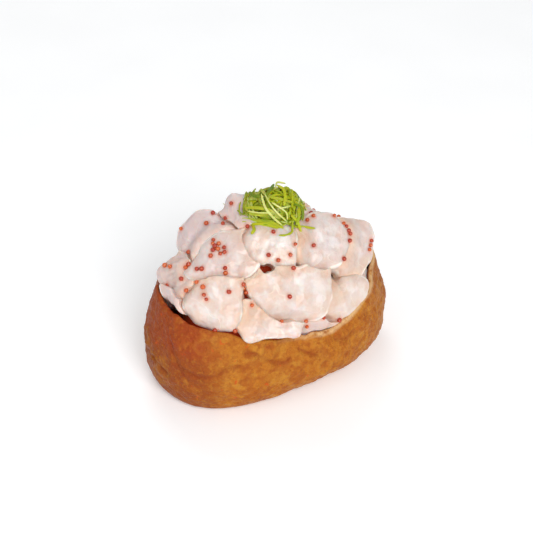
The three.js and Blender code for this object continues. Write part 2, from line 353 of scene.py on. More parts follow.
def ramp(tree, value, low, high):
    """0 where a value is at low and 1 where it is at high, smoothly."""
    node = put(tree, "MapRange", Value=value, From_Min=low, From_Max=high)
    node.interpolation_type = "SMOOTHSTEP"
    return node.outputs[0]


def product(tree, a, b):
    return math_node(tree, "MULTIPLY", a, b)


def mixed(tree, factor, a, b):
    """A mix of two colours."""
    node = put(tree, "Mix", i0=factor, i6=a, i7=b)
    node.data_type = "RGBA"
    return node.outputs[2]


def tinted(tree, colour, *tints):
    """A colour under layers of tint, each with its mask, its share and its colour."""
    for mask, share, tint in tints:
        colour = mixed(tree, product(tree, mask, share), colour, tint)
    return colour


def finish(tree, shader, colour, strength, depth, height):
    """Gives a shader its colour, and a bump of a depth in millimetres."""
    tree.links.new(colour, shader.inputs["Base Color"])
    bump = put(tree, "Bump", Strength=strength, Distance=depth * MM, Height=height)
    tree.links.new(bump.outputs["Normal"], shader.inputs["Normal"])


def new_material(name, **values):
    """A material with its shader's own fixed values set, and its Object coordinates."""
    material = bpy.data.materials.new(name)
    material.use_nodes = True
    tree = material.node_tree
    shader = tree.nodes["Principled BSDF"]
    for label, value in values.items():
        shader.inputs[label.replace("_", " ")].default_value = value
    return material, tree, shader, tree.nodes.new("ShaderNodeTexCoord").outputs["Object"]


def attribute(tree, name, output="Fac"):
    node = tree.nodes.new("ShaderNodeAttribute")
    node.attribute_name = name
    return node.outputs[output]


# Soft blotches: a mask of noise, at a size in millimetres, that goes from 0 to 1 between two
# levels. Every finish on this sushi is uneven in this way.
blotches = bpy.data.node_groups.new("blotches", "ShaderNodeTree")
blotches.interface.new_socket("Vector", in_out="INPUT", socket_type="NodeSocketVector")
for label in ("Millimetres", "Detail", "Low", "High"):
    blotches.interface.new_socket(label, in_out="INPUT", socket_type="NodeSocketFloat")
blotches.interface.new_socket("Mask", in_out="OUTPUT", socket_type="NodeSocketFloat")
blotches_in = blotches.nodes.new("NodeGroupInput")
blotches_out = blotches.nodes.new("NodeGroupOutput")
vector, millimetres, detail, low, high = blotches_in.outputs[:5]
scale = math_node(blotches, "DIVIDE", 1 / MM, millimetres)
noise = put(blotches, "TexNoise", Vector=vector, Scale=scale, Detail=detail)
blotch_mask = ramp(blotches, noise.outputs["Fac"], low, high)
blotches.links.new(blotch_mask, blotches_out.inputs["Mask"])


def blotch(tree, vector, millimetres, low, high, detail=2.0):
    node = tree.nodes.new("ShaderNodeGroup")
    node.node_tree = blotches
    tree.links.new(vector, node.inputs["Vector"])
    values = {"Millimetres": millimetres, "Detail": detail, "Low": low, "High": high}
    for label, value in values.items():
        node.inputs[label].default_value = value
    return node.outputs["Mask"]


def stretched(tree, vector, x, y, z):
    """Coordinates in which a pattern is stretched by these factors along each axis."""
    return put(tree, "Mapping", Vector=vector, Scale=(1 / x, 1 / y, 1 / z)).outputs[0]


TOFU_GOLD = (0.445, 0.148, 0.013, 1)
TOFU_OLIVE = (0.51, 0.22, 0.026, 1)
TOFU_BROWN = (0.34, 0.085, 0.010, 1)
TOFU_RUSSET = (0.23, 0.034, 0.007, 1)
TOFU_RED = (0.55, 0.055, 0.006, 1)
TOFU_CREAM = (0.88, 0.64, 0.34, 1)
TOFU_WET = (0.34, 0.032, 0.007, 1)
TOFU_DRIER = (0.20, 0.045, 0.012, 1)
TOFU_GLOW = (0.075, 0.007, 0.002, 1)

tofu_skin, tree, shader, coords = new_material(
    "tofu_skin",
    Roughness=0.55,
    Coat_Weight=0.02,
    Coat_Roughness=0.3,
    Specular_IOR_Level=0.12,
    Emission_Strength=1,
)
lying = stretched(tree, coords, 1.5, 1.5, 1)
gilded = blotch(tree, coords, 4.2, 0.46, 0.6, 4)
patches = blotch(tree, lying, 3.2, 0.46, 0.6, 4)
streaks = blotch(tree, lying, 1.6, 0.45, 0.58, 4)
flecks = blotch(tree, coords, 1.2, 0.52, 0.64, 3)
glints = blotch(tree, coords, 1.1, 0.54, 0.66, 3)
red_spots = blotch(tree, coords, 2.2, 0.66, 0.72, 3)
place = put(tree, "SeparateXYZ", Vector=coords)
# The left end is painted darker and redder, and darker still towards its top.
left_end = ramp(tree, place.outputs["X"], -26 * MM, -34 * MM)
darker = product(tree, left_end, blotch(tree, coords, 4, 0.2, 0.5, 3))
upper_left = product(tree, left_end, ramp(tree, place.outputs["Z"], 16 * MM, 23 * MM))
colour = tinted(
    tree,
    TOFU_GOLD,
    (gilded, 0.55, TOFU_OLIVE),
    (patches, 0.55, TOFU_BROWN),
    (darker, 0.75, TOFU_RUSSET),
    (streaks, 0.4, TOFU_BROWN),
    (flecks, 0.3, TOFU_RUSSET),
    (glints, 0.3, TOFU_OLIVE),
    (red_spots, 0.6, TOFU_RED),
    # Creases and the sunk middles of blisters are painted darker, as painted shade in them; the
    # raised rings of blisters are paler.
    (attribute(tree, "crease"), 0.6, TOFU_RUSSET),
    (attribute(tree, "ring"), 0.35, TOFU_OLIVE),
    (attribute(tree, "spot"), 0.25, TOFU_BROWN),
    (upper_left, 0.35, TOFU_WET),
)
right_end = ramp(tree, place.outputs["X"], -14 * MM, 2 * MM)
pale = blotch(tree, lying, 1.5, 0.25, 0.55, 3)
cut_edge = product(tree, attribute(tree, "lip"), product(tree, right_end, pale))
colour = mixed(tree, cut_edge, colour, TOFU_CREAM)
# The filling is soaked and red at the front left, and drier and browner elsewhere.
inside = attribute(tree, "inside")
soaked_along = ramp(tree, place.outputs["X"], 12 * MM, 0)
soaked_across = ramp(tree, place.outputs["Y"], 3 * MM, -3 * MM)
soaked = product(tree, soaked_along, soaked_across)
colour = mixed(tree, inside, colour, mixed(tree, soaked, TOFU_DRIER, TOFU_WET))
# A painted glow on the soaked filling stands in for light coming through the thin wet skin.
glow = mixed(tree, product(tree, inside, soaked), (0, 0, 0, 1), TOFU_GLOW)
tree.links.new(glow, shader.inputs["Emission Color"])
roughness = put(tree, "MapRange", Value=streaks, To_Min=0.42, To_Max=0.6).outputs[0]
tree.links.new(roughness, shader.inputs["Roughness"])
pores = put(tree, "TexVoronoi", Vector=coords, Scale=1 / (0.7 * MM))
grain = blotch(tree, coords, 0.9, 0.3, 0.7, 4)
height = math_node(tree, "ADD", pores.outputs["Distance"], grain)
finish(tree, shader, colour, 0.8, 0.22, height)
tofu.data.materials.append(tofu_skin)

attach(tofu, "root")
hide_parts("pouch")

# ---------------------------------------------------------------- squid
# Slices of raw white squid, cut thick and laid over each other like tiles, all wet and soft-edged.
# Each is a slab that gives way to those on top of it. Millimetres: centre, size, turns about X, Y
# and Z in degrees, and from 0 to 1 how lilac its flesh is, partly its own tint and partly painted
# shade on the slices that lie in shade.

SLICES = {
    "upper_middle": ((-6, -8.5, 43.5), (17.5, 14, 8), (40, 8, -38), 0),
    "upper_right": ((10, -11.5, 41), (16.5, 18, 8), (47, 10, -25), 0.3),
    "middle_left": ((-18.5, -4, 41), (21.5, 18.5, 8), (41, -13, -32), 0.4),
    "front_middle": ((-5.5, -17, 32.5), (26.5, 15, 8), (63, 7, -23), 0.1),
    "front_left": ((-25.5, -9, 31.5), (19, 14.5, 9), (61, 4, -44), 0.1),
    "hanging": ((-14, -20, 27.5), (18, 13, 5), (48, -4, -31), 0.2),
    "front_right": ((12.5, -18, 25), (18.5, 14.5, 8), (66, -18, -5), 0),
    "back_right": ((19.5, -13, 36), (13.5, 20, 7), (52, 14, -23), 0.3),
    "left_top": ((-17.5, 7.5, 42.5), (16.5, 13.5, 8), (23, -27, -14), 0.9),
    "left_low": ((-27, 5.5, 36), (15.5, 10, 7), (36, -38, -24), 0.65),
    "left_sliver": ((-31, 1, 32.3), (9, 5, 4), (57, 19, -76), 0.9),
    "back_middle": ((-5, 1, 47), (18, 17, 7), (41, -1, -36), 0.9),
    "under_right": ((5.5, -18.6, 23.8), (18, 11, 5), (68, -3, -14), 0.7),
    "top": ((8, 0, 42.8), (15, 14, 6), (8, 8, -25), 0.3),
    "end_right": ((28, 2.5, 29), (17, 21, 7.5), (-5, 60, 5), 0.3),
    "end_right_front": ((24, -7, 26.5), (14, 14, 7), (0, 55, -40), 0.2),
    "end_right_top": ((20.5, 2, 36), (15, 15, 6), (-6, 30, 0), 0.4),
    "rear_middle": ((-1, 17, 27), (26, 20, 8), (-66, 5, -4), 0.2),
    "rear_left": ((-20, 11.5, 28.5), (19.5, 20.5, 8), (-54, 0, 34), 0.5),
    "rear_right": ((17.8, 13, 28), (21, 20, 8), (-60, -8, -22), 0.1),
    "rear_top_left": ((-6.5, 11, 40.5), (22, 18, 8), (-38, -5, 6), 0.4),
    "rear_top_right": ((10, 9.5, 39.5), (20, 17, 8), (-30, 12, -12), 0.2),
}
# The outlines of the slices on the front, as an eye sees them: across and up in millimetres on a
# plane that faces the eye. The other slices are uneven ovals.
OUTLINES = {
    "front_middle": """
        -6.5,-5.5 -5.5,-4 -2.5,-2.5 1.5,-1 8.5,-1 17,-1 18.5,-2 19.5,-4.5 19,-7 18,-11 17.5,-13
        15.5,-15 12,-15.5 7,-15 2.5,-16 0,-14.5 -2,-12.5 -4,-10 -5.5,-8
    """,
    "front_left": """
        -24,-9 -23,-7.5 -21,-6 -17.5,-5 -13,-4 -8,-4.5 -7,-7.5 -6.5,-11 -7,-14 -7.5,-17
        -8.5,-19 -11.5,-19.5 -15,-19 -18,-17.5 -20.5,-16.5 -22.5,-14 -24,-11.5
    """,
    "upper_middle": """
        -8,6.5 -7.5,9 -5.5,11 -2.5,12.5 2.5,13 7.5,12.5 8.5,9.5 8.5,6 8.5,1.5 8.5,-0.5 7,-0.5
        2,-0.5 -2.5,0 -4,0.5 -6,2.5 -7.5,4.5
    """,
    "upper_right": """
        9,-0.5 8.5,5 9,9.5 10,13 11.5,14.5 13,15.5 16,15.5 19,15 21,13 22.5,11 24,7.5 24,5 23,2.5
        21,0.5 18,-0.5 16,-1.5 12.5,-1.5 10,-1
    """,
    "middle_left": """
        -24.5,-2 -23,0 -20,2.5 -19,5 -17,7 -14,9 -10,10 -6,9 -3.5,5 -2.5,-0.5 -3,-2.5 -5,-3.5
        -7.5,-4.5 -11,-4.5 -13.5,-4 -16.5,-4 -18.5,-5 -20.5,-4.5 -23,-4
    """,
    "hanging": """
        -8,-16 -6.5,-12 -4,-10 0.5,-10.5 6,-12 10.5,-13.5 10,-17.5 10.5,-21.5 8,-21 5.5,-21
        1.5,-20.5 -1.5,-21 -4,-22.5 -6,-22.5 -7.5,-21 -8,-18.5
    """,
    "front_right": """
        15,-15 16,-9.5 18,-5.5 19,-3.5 21,-2 23,-2 26,-2 28.5,-3.5 29.5,-5 29,-7.5 27.5,-10
        26,-12 23,-14 21,-15.5 19,-16 17,-16
    """,
    "back_right": """
        18.5,1.5 17.5,7.5 18.5,13 19.5,14.5 22.5,14 27,13.5 29.5,13 30,11.5 30.5,7.5 30.5,4.5
        30.5,2 28.5,0 27,-1.5 25,-2.5 22,-2 19.5,-1.5
    """,
    "left_top": """
        -25.5,5.5 -25.5,7.5 -25,9.5 -23,12 -22.5,13 -20,15 -17.5,16 -16,16 -14.5,15.5 -11.5,13
        -11,8 -13.5,4 -18,2.5 -22,2.5 -25,3
    """,
    "left_low": """
        -32,-2 -31,-0.5 -28.5,1.5 -25.5,3 -22,4 -19,2.5 -18.5,-1 -19.5,-5 -22.5,-7 -26,-7 -29.5,-6
        -31,-5 -31.5,-4
    """,
    "left_sliver": """
        -30,-6 -28,-5.5 -24.5,-6 -22.5,-7.5 -22.5,-9.5 -23.5,-11.5 -25,-11 -27,-10.5 -28.5,-10
        -29.5,-8
    """,
    "under_right": """
        10.5,-14.5 13,-12.5 17,-12.5 21,-13.5 24,-15 22,-17 18,-18 14,-19.5 11.5,-20 10.5,-17
    """,
    "back_middle": """
        -12,14 -12.5,17 -12,19.5 -10.5,21 -6.5,21 -1.5,21 2.5,19 4,15 2,11 -2.5,8 -8,6 -13,8
    """,
}
# A gap that stays open between three slices, down to what carries them.
GAP = ((-6, -12, 38), (6, 4, 18), (52, 4, -32))
GAP_OUTLINE = "-3,0.5 -1,0 2,-1 0,-1.7 -1.5,-2.3 -2.3,-1.5"
EYE_DISTANCE = 400
EYE_TARGET = np.array((-0.8, 0.5, 30.6))
EYE_TILT = math.radians(90 - 33.6)
FRONT_EYE = np.array(Euler((EYE_TILT, 0, math.radians(-35.4))).to_matrix())
REAR_EYE = np.array(Euler((EYE_TILT, 0, math.radians(144.6))).to_matrix())

# A hollow in a slice, painted tan as painted shade: where an eye sees it, and how wide it is.
HOLLOWS = {
    "hanging": (-3.2, -14.6, 3.6),
    "front_right": (19.2, -3.4, 2.6),
    "upper_right": (9.8, 8.5, 2.6),
    "front_left": (-11, -11.5, 2.6),
}
HOLLOW_DEPTH = 0.8

STATIONS = np.radians(np.arange(0, 360, 5))
CORNER_ROUNDING = np.array((1, 2, 3, 2, 1)) / 9
RUN_UNDER = 4
SLICE_GAP = -0.5
SLICE_EDGE = 2.7
SLICE_CORNER = 2.6
SLICE_FLATNESS = 0.9
SLICE_LIFT = 7
SLICE_LUMPS = 0.03
SLICE_VOXEL = 0.3
SLICE_SMOOTHING = 2
EDGE_PROUD = 0.5
MOST_RISE = 3
MOST_HIDDEN_RISE = 0.5
WALL_ROOM = 0.3
OVERHANG = 3


def sight(eye, across, up):
    """An eye's line through a place on the plane that faces it: where it starts and its way."""
    start = EYE_TARGET + EYE_DISTANCE * eye[:, 2]
    return start, EYE_TARGET + eye[:, :2] @ (across, up) - start


def polar(corners):
    """A closed outline's middle, and how far from there it lies at each station round it."""
    middle = (corners.min(axis=0) + corners.max(axis=0)) / 2
    x, y = (corners - middle).T
    return middle, np.interp(STATIONS, np.arctan2(y, x), np.hypot(x, y), period=2 * math.pi)


def radius_at(radii, x, y):
    return np.interp(np.arctan2(y, x), STATIONS, radii, period=2 * math.pi)


def covered(places, outline, margin):
    """Which places lie within an outline that is widened by a margin."""
    middle, radii = polar(outline)
    x, y = (places - middle).T
    return np.hypot(x, y) < radius_at(radii, x, y) + margin


def smoothstep(values, low, high):
    share = np.clip((values - low) / (high - low), 0, 1)
    return share * share * (3 - 2 * share)


class Slab:
    """The uncut form of a slice, as a distance from its middle in every direction."""

    def __init__(self, number, centre, size, turns, outline, outlines_above):
        self.seed = number
        self.centre = np.array(centre, float)
        self.half = np.array(size, float) / 2 * (1, 1, SLICE_FLATNESS)
        self.turn = np.array(Euler([math.radians(t) for t in turns]).to_matrix())
        if outline is None:
            self.radii = self.oval_radii()
        else:
            self.radii = self.seen_radii(outline, outlines_above)
        rolls = [np.roll(self.radii, k - 2) * share for k, share in enumerate(CORNER_ROUNDING)]
        self.radii = sum(rolls)

    def oval_radii(self):
        along = np.abs(np.cos(STATIONS) / self.half[0]) ** SLICE_CORNER
        across = np.abs(np.sin(STATIONS) / self.half[1]) ** SLICE_CORNER
        uneven = 0.04 * np.sin(2 * STATIONS + self.seed) + 0.05 * np.sin(3 * STATIONS - self.seed)
        uneven += 0.03 * np.sin(5 * STATIONS + 2 * self.seed)
        return (along + across) ** (-1 / SLICE_CORNER) * (1 + uneven)

    def seen_radii(self, outline, outlines_above):
        """The outline where the eye's lines meet the slab's middle plane. It runs on under the
        slices that lie on it."""
        further = outline + RUN_UNDER * unit(outline - polar(outline)[0])
        for above in outlines_above:
            under = covered(outline, above, 0.7) & covered(further, above, -0.5)
            outline = np.where(under[:, None], further, outline)
        corners = []
        for across, up in outline:
            start, way = sight(FRONT_EYE, across, up)
            start, way = self.own(start), way @ self.turn
            corners.append((start - way * start[2] / way[2])[:2])
        middle, radii = polar(np.array(corners))
        self.centre += self.turn[:, :2] @ middle
        return radii

    def reach(self, directions, grow=0.0):
        x, y, z = directions.T
        across = np.hypot(x, y) / (radius_at(self.radii, x, y) + grow)
        through = np.abs(z) / (self.half[2] + grow)
        lumps = np.sin(3 * x + self.seed) * np.cos(2.6 * y + 2 * self.seed)
        lumps += np.sin(4 * y - self.seed)
        edge = (across**SLICE_EDGE + through**SLICE_EDGE) ** (-1 / SLICE_EDGE)
        return edge * (1 + SLICE_LUMPS * lumps)

    def surface(self, directions, grow=0.0, lift=0.0):
        """Points of the slab's surface in the given directions, grown by a clearance, and with
        its upper face lifted."""
        points = directions * self.reach(directions, grow)[:, None]
        points[:, 2] += lift * (directions[:, 2] > 0)
        return points @ self.turn.T + self.centre

    def own(self, points):
        """Points in the slice's own axes, along it, across it and through it."""
        return (points - self.centre) @ self.turn

    def level(self, points):
        """Under 1 inside the slab, 1 on its surface and over 1 outside."""
        own = self.own(points)
        length = np.linalg.norm(own, axis=1) + 1e-9
        return length / self.reach(own / length[:, None])

    def away(self, points):
        """Distance from the slab's surface, under 0 inside, and the direction out of it."""
        level = self.level(points)
        step = 0.05
        slope = [(self.level(points + step * axis) - level) / step for axis in np.eye(3)]
        slope = np.array(slope).T
        steepness = np.linalg.norm(slope, axis=1) + 1e-9
        return (level - 1) / steepness, slope / steepness[:, None]


def unit(vectors):
    return vectors / np.linalg.norm(vectors, axis=-1, keepdims=True)


slabs = {}
outlines = {name: places_of(text) for name, text in OUTLINES.items()}
for name, (centre, size, turns, _) in SLICES.items():
    above = [outlines[other] for other in slabs if other in outlines]
    slabs[name] = Slab(len(slabs), centre, size, turns, outlines.get(name), above)


def slab_object(name, slab, fineness, grow=0.0, lift=0.0):
    deselect()
    bpy.ops.mesh.primitive_ico_sphere_add(subdivisions=fineness, radius=1)
    piece = bpy.context.object
    piece.name = name
    move_points(piece, slab.surface(unit(points_of(piece)), grow, lift) * MM)
    return piece


def cut(piece, other, operation="DIFFERENCE"):
    boolean = piece.modifiers.new("cut", "BOOLEAN")
    boolean.operation = operation
    boolean.solver = "MANIFOLD"
    boolean.object = other
    apply(piece, boolean)


def keep_largest(piece):
    """Drops the loose scraps that a cut leaves."""
    mesh = bmesh.new()
    mesh.from_mesh(piece.data)
    left = set(mesh.verts)
    bodies = []
    while left:
        body, edge = [], [left.pop()]
        while edge:
            vert = edge.pop()
            body.append(vert)
            near = {e.other_vert(vert) for e in vert.link_edges} & left
            left -= near
            edge.extend(near)
        bodies.append(body)
    bodies.sort(key=len)
    bmesh.ops.delete(mesh, geom=[vert for body in bodies[:-1] for vert in body], context="VERTS")
    mesh.to_mesh(piece.data)
    mesh.free()


# What the slices must keep clear of: first the pouch, then the slices already laid, and the room
# over them, so that a slice that lies on another shows its whole outline.
deselect()
taken = tofu.copy()
taken.data = tofu.data.copy()
taken.name = "taken"
bpy.context.scene.collection.objects.link(taken)
fewer = taken.modifiers.new("fewer", "DECIMATE")
fewer.ratio = 0.2
apply(taken, fewer)
taken.data.materials.clear()

gap = slab_object("gap", Slab(0, *GAP, places_of(GAP_OUTLINE), []), 4)
cut(taken, gap, "UNION")
bpy.data.objects.remove(gap)

slices = {}
for name, slab in slabs.items():
    piece = slab_object("slice_" + name, slab, 6)
    cut(piece, taken)
    keep_largest(piece)
    grown = slab_object("grown", slab, 5, SLICE_GAP, SLICE_LIFT)
    cut(taken, grown, "UNION")
    bpy.data.objects.remove(grown)
    slices[name] = piece
bpy.data.objects.remove(taken)

# The flesh is uneven: soft swellings, and flatter facets with low ridges between them. Where a
# slice lies on another, the lower one swells up against its edge.
FLESH_RELIEF = {"flesh_swellings": ("CLOUDS", 3, 0.5), "flesh_facets": ("VORONOI", 5.5, 1)}


def keep_inside(piece):
    """Draws a slice back where it would show through the pouch's wall, up to just over its rim."""
    points = points_of(piece) / MM
    angles = np.arctan2(points[:, 1], points[:, 0])
    radii = np.hypot(points[:, 0], points[:, 1])
    shoulders = rim_height(angles) - SKIN / 2
    room = wall_radius(angles, np.minimum(points[:, 2], shoulders)) - SKIN - WALL_ROOM
    room += OVERHANG * smoothstep(points[:, 2] - shoulders, 0, OVERHANG)
    room = np.where(points[:, 2] > shoulders + OVERHANG, radii, room)
    points[:, :2] *= (np.minimum(radii, room) / np.maximum(radii, 1))[:, None]
    move_points(piece, points * MM)


def swell_up(piece, slab, above, most):
    points = points_of(piece) / MM
    upward = slab.turn[:, 2]
    top = smoothstep(slab.own(points)[:, 2] / slab.half[2], 0, 0.5)
    rise = np.zeros(len(points))
    for upper in above:
        short = EDGE_PROUD * upper.half[2] - upper.own(points)[:, 2]
        slope = max(0.5, upward @ upper.turn[:, 2])
        near = 1 - smoothstep(upper.away(points)[0], 0, 5)
        rise = np.maximum(rise, np.clip(short / slope, 0, most) * near)
    move_points(piece, (points + np.outer(rise * top, upward)) * MM)


def hollow_out(piece, across, up, width):
    """Presses a soft hollow into a slice, away from the eye, and marks it for painted shade."""
    points = points_of(piece) / MM
    start, way = sight(FRONT_EYE, across, up)
    from_line = np.linalg.norm(np.cross(points - start, unit(way)), axis=1)
    mask = np.exp(-((from_line / width) ** 2))
    paint(piece, "hollow", mask)
    move_points(piece, (points + np.outer(mask * HOLLOW_DEPTH, unit(way))) * MM)


for name, piece in slices.items():
    remesh = piece.modifiers.new("even", "REMESH")
    remesh.mode = "VOXEL"
    remesh.voxel_size = SLICE_VOXEL * MM
    apply(piece, remesh)
    keep_largest(piece)
    slab = slabs[name]
    most = MOST_RISE if name in OUTLINES else MOST_HIDDEN_RISE
    swell_up(piece, slab, [other for other in slabs.values() if other.seed < slab.seed], most)
    emboss(piece, FLESH_RELIEF)
    soften = piece.modifiers.new("soften", "SMOOTH")
    soften.factor = 0.5
    soften.iterations = SLICE_SMOOTHING
    apply(piece, soften)
    # The hanging slice alone leans out over the rim.
    if name != "hanging":
        keep_inside(piece)
    if name in HOLLOWS:
        hollow_out(piece, *HOLLOWS[name])
    deselect()
    piece.select_set(True)
    bpy.ops.object.shade_smooth()

# Finish of each slice: its own axes for the grain of the flesh, its edge, for a painted highlight
# and painted shade, how lilac it is, partly as painted shade, and how close its neighbours lie, for
# painted shade and a painted glow in the crevices.
CREVICE_SHADE = 5
CREVICE_GLOW = 1.8

for name, piece in slices.items():
    slab = slabs[name]
    points = points_of(piece) / MM
    own = slab.own(points)
    out = np.hypot(own[:, 0], own[:, 1]) / radius_at(slab.radii, own[:, 0], own[:, 1])
    through = own[:, 2] / slab.half[2]
    paint(piece, "rim", smoothstep(out, 0.93, 0.98) * smoothstep(through, 0.2, 0.6))
    paint(piece, "margin", smoothstep(out, 0.3, 0.95))
    paint(piece, "lilac_and_shade", [SLICES[name][3]] * len(points))
    above = [other for other in slabs.values() if other.seed < slab.seed]
    below = [other for other in slabs.values() if other.seed > slab.seed]
    for label, neighbours in {"under": above, "over": below}.items():
        nearest = np.full(len(points), 2.0 * CREVICE_SHADE)
        for neighbour in neighbours:
            nearest = np.minimum(nearest, np.abs(neighbour.away(points)[0]))
        paint(piece, label, 1 - smoothstep(nearest, 0, CREVICE_SHADE))
        if label == "under":
            paint(piece, "crevice", 1 - smoothstep(nearest, 0, CREVICE_GLOW))
    layer = piece.data.attributes.new("grain", "FLOAT_VECTOR", "POINT")
    layer.data.foreach_set("vector", (own * MM).astype(np.float32).ravel())

SQUID_WHITE = (0.73, 0.675, 0.645, 1)
SQUID_PINK = (0.625, 0.48, 0.42, 1)
SQUID_TAN_AND_SHADE = (0.64, 0.40, 0.26, 1)
SQUID_LILAC_AND_SHADE = (0.61, 0.49, 0.515, 1)
SQUID_RIM = (0.88, 0.81, 0.74, 1)
SQUID_STAIN = (0.72, 0.22, 0.10, 1)
SQUID_GLOW = (0.10, 0.058, 0.036, 1)
SQUID_EDGE_GLOW = (0.08, 0.07, 0.06, 1)

squid, tree, shader, coords = new_material(
    "squid",
    Roughness=0.38,
    Specular_IOR_Level=0.4,
    Coat_Weight=0.2,
    Coat_Roughness=0.2,
    Subsurface_Weight=0.7,
    Subsurface_Scale=3 * MM,
    Emission_Strength=1,
)
shader.inputs["Subsurface Radius"].default_value = (1.0, 0.5, 0.35)
grain = attribute(tree, "grain", "Vector")
fibres = blotch(tree, stretched(tree, grain, 1, 5, 3), 0.9, 0.35, 0.65, 3)
clouds = blotch(tree, coords, 3.4, 0.4, 0.58, 4)
warmth = blotch(tree, coords, 5, 0.48, 0.62, 3)
# Thin folds follow the middle level of a broad noise.
half = blotch(tree, coords, 8.5, 0.49, 0.51, 1)
folds = product(tree, product(tree, half, math_node(tree, "SUBTRACT", 1, half)), 4)
lilac_and_shade = attribute(tree, "lilac_and_shade")
under_shade_share = put(tree, "MapRange", Value=lilac_and_shade, To_Min=0.72, To_Max=0.25).outputs[0]
rim = attribute(tree, "rim")
# The pink and tan patches at random are the flesh's own colour. The tan towards each slice's edge,
# next to the slices over and under it, and in its hollows is painted shade.
colour = tinted(
    tree,
    SQUID_WHITE,
    (clouds, 0.55, SQUID_PINK),
    (attribute(tree, "margin"), 0.2, SQUID_TAN_AND_SHADE),
    (warmth, 0.4, SQUID_TAN_AND_SHADE),
    # Lilac: partly the flesh's own tint and partly painted shade on the slices that lie in shade.
    (lilac_and_shade, 0.7, SQUID_LILAC_AND_SHADE),
    (fibres, 0.06, SQUID_RIM),
    (folds, 0.3, SQUID_RIM),
    (attribute(tree, "over"), 0.1, SQUID_TAN_AND_SHADE),
    (attribute(tree, "under"), under_shade_share, SQUID_TAN_AND_SHADE),
    # Painted highlight: a pale line along each slice's upper edge.
    (rim, 0.75, SQUID_RIM),
    (attribute(tree, "hollow"), 0.5, SQUID_TAN_AND_SHADE),
    (attribute(tree, "stain"), 0.45, SQUID_STAIN),
)
# A painted glow stands in for light that comes through the thin edges and through the flesh where
# two slices meet.
glow = mixed(tree, attribute(tree, "crevice"), (0, 0, 0, 1), SQUID_GLOW)
glow = mixed(tree, rim, glow, SQUID_EDGE_GLOW)
tree.links.new(glow, shader.inputs["Emission Color"])
creases = blotch(tree, coords, 2.2, 0.3, 0.7, 4)
height = math_node(tree, "ADD", product(tree, fibres, 0.2), creases)
height = math_node(tree, "ADD", height, product(tree, folds, 0.6))
finish(tree, shader, colour, 0.3, 0.35, height)

for name, piece in slices.items():
    piece.data.materials.clear()
    piece.data.materials.append(squid)
    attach(piece, "root")
    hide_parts("squid_" + name)

# ---------------------------------------------------------------- roe
# Grains of flying-fish roe, a bit over a millimetre across, orange red and glossy. They stick to
# the wet squid, in small clusters and along the crevices. Each is placed as an eye sees it,
# across and up in millimetres on a plane that faces the eye.

GRAIN_RADIUS = 0.63
STAIN_REACH = 1.5
GRAIN_SUNK = 0.35
FRONT_GRAINS = """
    -10.1,18.2 -15.5,15.4 -11.8,14 -12.6,12.3 -17.3,12.4 -24.5,10.9 -26,4.8 -22.3,4.2 -15.3,7.6
    -15.4,6.6 -13.8,6.6 -14.9,5.9 -14,5.1 -15.4,4.8 -12.2,5.5 -12.1,4.2 -13.3,3.8 -16.1,3.1
    -29.2,0.3 -27.7,0 -22.3,0.5 -23.2,-0.4 -20,-0.7 -18.6,-0.6 -24.5,-3.5 -20,-4.5 -28.7,-5.6
    -23.2,-6.7 -18.3,-5.8 -18,-8.2 -17.3,-9.4 -11.9,-0.4 -11.8,-1.8 -10.8,-7.2 -6.8,-5.1
    -6.2,-6.2 -5.6,-7.4 -4.3,-11.1 -5.6,11.5 2,10 0.6,3.3 3.4,1.9 6.8,3.4 8.2,6.5 7.8,-0.4
    13.5,6.1 11.8,13.4 13.5,14.6 19.5,14.6 22.2,12.4 22.9,11.5 23.5,10.4 24.1,9.5 24,7.5
    22.2,2.3 30.2,7.5 29.9,6.2 29.6,4.9 6.6,-8.6 4.3,-16 16.4,-14.7 11.4,-15.5 11.7,-17.2
    21,-15.3 23.7,-14.4 -14.8,-18.3 -9.1,-18.3
"""
# Those on the rear lie in small groups, scattered as an eye at the rear right sees them.
REAR_GROUPS = 9
MOST_IN_GROUP = 4
REAR_HALF_WIDTH = 27
REAR_LOW = -12
REAR_HIGH = 16
GROUP_SPREAD = 1.5
# Grains differ in size and in roundness, as shares of a full round one.
GRAIN_SIZES = (0.82, 1.1)
GRAIN_STRETCHES = (0.9, 1.08)


def repeatable_draws(state):
    """Random numbers from 0 to 1, the same on every run."""
    while True:
        state = (state * 1664525 + 1013904223) % 2**32
        yield state / 2**32


def rear_grains():
    draw = repeatable_draws(5)
    places = []
    for _ in range(REAR_GROUPS):
        across = (2 * next(draw) - 1) * REAR_HALF_WIDTH
        up = REAR_LOW + next(draw) * (REAR_HIGH - REAR_LOW)
        for _ in range(math.ceil(MOST_IN_GROUP * next(draw))):
            aside = GROUP_SPREAD * (2 * next(draw) - 1)
            above = GROUP_SPREAD * (2 * next(draw) - 1)
            places.append((across + aside, up + above))
    return places


def tree_of(piece):
    return BVHTree.FromObject(piece, bpy.context.evaluated_depsgraph_get())


trees = {name: tree_of(piece) for name, piece in slices.items()}
trees["pouch"] = tree_of(tofu)


def first_hit(eye, across, up):
    """What the eye sees at a place: its name, the point and the normal, or None."""
    start, way = sight(eye, across, up)
    hits = []
    for name, surface in trees.items():
        point, normal, _, distance = surface.ray_cast(start * MM, way)
        if point:
            hits.append((distance, name, point, normal))
    return min(hits)[1:] if hits else None


